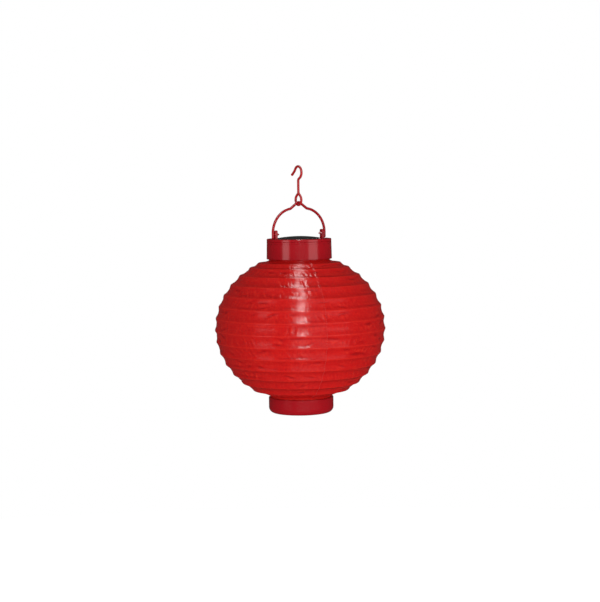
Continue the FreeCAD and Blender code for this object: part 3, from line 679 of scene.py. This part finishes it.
def mark_cloth(shape, rows, heights):
    """Marks each corner for the finish: its nearness to a ridge, for the painted ridge highlight, and how far
    its fold stands out, for the painted fold shade and glow.
    """
    ridge_highlight_mask = shape.verts.layers.float.new("over_hoop")
    folded = shape.verts.layers.float.new("fold")
    row_tag = shape.verts.layers.int["row"]
    for corner in shape.verts:
        ends = ridge_distances(rows[corner[row_tag]])
        corner[ridge_highlight_mask] = math.exp(-((min(ends) / ridge_highlight_width) ** 2)) if ends else 0.0
        corner[folded] = 0.5 + heights[corner[row_tag], column_of(corner)] / fold_span


def globe_cloth():
    """The one sheet of cloth over all the hoops, and the line down it that the seam's stitches follow."""
    rows = shell_rows(shell_stations())
    heights = shell_heights(rows)
    shape = spun_rows(rows)
    stretch_cloth(shape, rows, heights)
    map_cloth(shape, rows)
    mark_cloth(shape, rows, heights)
    bmesh.ops.recalc_face_normals(shape, faces=shape.faces)
    if sum(face.normal.dot(face.calc_center_median()) for face in shape.faces) < 0:
        bmesh.ops.reverse_faces(shape, faces=shape.faces)
    row_tag = shape.verts.layers.int["row"]
    beside_seam = (round(seam_angle / (2 * math.pi) * columns) + 1) % columns
    line = {corner[row_tag]: corner.co.copy() for corner in shape.verts if column_of(corner) == beside_seam}
    return shape, [line[number] for number in sorted(line)]


def stitches(path, pitch, stitch_length, thread):
    """A row of stitches down a path: short bars, thin at both ends, sunk a little in the cloth."""
    shape = bmesh.new()
    travelled = pitch / 2
    for start, end in zip(path, path[1:]):
        step = (end - start).length
        run = (end - start).normalized()
        out = Vector((start.x, start.y, 0.0)).normalized()
        while travelled < step:
            middle = start + run * travelled + out * thread * 0.3
            made = bmesh.ops.create_uvsphere(shape, u_segments=6, v_segments=4, radius=thread / 2)
            turn = run.to_track_quat("Z", "Y").to_matrix().to_4x4()
            stretch = Matrix.Diagonal((1.0, 1.0, stitch_length / thread, 1.0))
            place = Matrix.Translation(middle) @ turn @ stretch
            bmesh.ops.transform(shape, matrix=place, verts=made["verts"])
            travelled += pitch
        travelled -= step
    return shape


cloth_shape, seam_line = globe_cloth()
globe = finish_piece("globe_cloth", cloth_shape, finishes["nylon"], "shell")
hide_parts("fabric_shell")
seam_path = [p for p in seam_line if cup_high.z + seam_margin < p.z < collar_low.z - seam_margin]
seam_shape = stitches(seam_path, pitch=3.2 * MM, stitch_length=2.2 * MM, thread=0.55 * MM)
seam = finish_piece("side_seam_stitches", seam_shape, thread_finish, "shell")

for piece in (globe, seam):
    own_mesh(piece)


# ---------------------------------------------------------------- studio

# The lantern hangs well above the floor, so that it can be looked at from below.
floor_drop = 3.0
floor_radius = 14.0
floor_shape = bmesh.new()
bmesh.ops.create_circle(floor_shape, cap_ends=True, segments=96, radius=floor_radius)
bmesh.ops.translate(floor_shape, verts=floor_shape.verts, vec=(0.0, 0.0, cup_low.z - floor_drop))
floor_mesh = bpy.data.meshes.new("floor")
floor_shape.to_mesh(floor_mesh)
floor_shape.free()
floor = bpy.data.objects.new("floor", floor_mesh)
bpy.context.scene.collection.objects.link(floor)
floor_finish, floor_tree, floor_place = new_finish("pale_studio_floor")
speckle = add(floor_tree, "TexNoise", {}, {"Vector": floor_place, "Scale": 3.0, "Detail": 2.0})
pale = add(floor_tree, "Mix", {"data_type": "RGBA"},
           {0: speckle.outputs["Fac"], 6: linear("#F7F7F6"), 7: linear("#FBFBFA")})
surface(floor_tree, {"Base Color": pale.outputs[2], "Roughness": 0.9, "Emission Color": (1.0, 1.0, 1.0, 1.0),
                     "Emission Strength": 1.0})
floor_mesh.materials.append(floor_finish)
floor.visible_glossy = False
floor.visible_diffuse = False

# An even white room that lights the colours and leaves the shine to the softboxes.
room_on_colours = 0.6
room_in_gloss = 0.035
world = bpy.data.worlds.new("studio")
world.use_nodes = True
world.node_tree.nodes.clear()
ray = add(world.node_tree, "LightPath", {}, {})
even = add(world.node_tree, "Mix", {"data_type": "FLOAT"},
           {0: ray.outputs["Is Glossy Ray"], 2: room_on_colours, 3: room_in_gloss})
room = add(world.node_tree, "Background", {}, {"Color": (1.0, 1.0, 1.0, 1.0), "Strength": even.outputs[0]})
screen = add(world.node_tree, "Background", {}, {"Color": (1.0, 1.0, 1.0, 1.0), "Strength": 1.0})
backdrop = add(world.node_tree, "MixShader", {}, {
    0: ray.outputs["Is Camera Ray"], 1: room.outputs["Background"], 2: screen.outputs["Background"]})
add(world.node_tree, "OutputWorld", {}, {"Surface": backdrop.outputs["Shader"]})
bpy.context.scene.world = world

lantern_middle = Vector((0.0, 0.0, aim.z))
# Watts for each square metre of a softbox with a glow of 1.
softbox_power = 4.0


def softbox(name, turn, low, high, width, distance, glow, shine):
    """A soft light seen from the lantern at that turn from the camera, in degrees to the right. It fills the
    heights from low to high, in degrees above the level. It either shines on gloss or fills the colours."""
    turn, low, high = math.radians(turn), math.radians(low), math.radians(high)
    away = to_camera * math.cos(turn) + to_right * math.sin(turn)
    foot = away * math.cos(low) + Vector((0.0, 0.0, math.sin(low)))
    head = away * math.cos(high) + Vector((0.0, 0.0, math.sin(high)))
    centre = (foot + head).normalized()
    height = 2 * distance * math.tan((high - low) / 2)
    data = bpy.data.lights.new(name, "AREA")
    data.shape = "RECTANGLE"
    data.size = width
    data.size_y = height
    data.energy = glow * width * height * softbox_power
    light = bpy.data.objects.new(name, data)
    light.location = lantern_middle + centre * distance
    light.rotation_mode = "QUATERNION"
    light.rotation_quaternion = centre.to_track_quat("Z", "Y")
    light.visible_glossy = shine
    light.visible_diffuse = not shine
    bpy.context.scene.collection.objects.link(light)


softbox("left_strip", turn=-47.5, low=-9.0, high=9.0, width=0.66, distance=1.5, glow=1.3, shine=True)
softbox("right_strip", turn=50.0, low=-9.0, high=9.0, width=0.94, distance=1.5, glow=1.1, shine=True)
softbox("overhead_front", turn=3.5, low=16.0, high=68.0, width=0.10, distance=1.5, glow=19.0, shine=True)
softbox("overhead_back", turn=3.5, low=69.0, high=118.0, width=0.10, distance=1.5, glow=15.0, shine=True)
softbox("front_fill", turn=10.0, low=-40.0, high=30.0, width=1.6, distance=1.8, glow=1.7, shine=False)
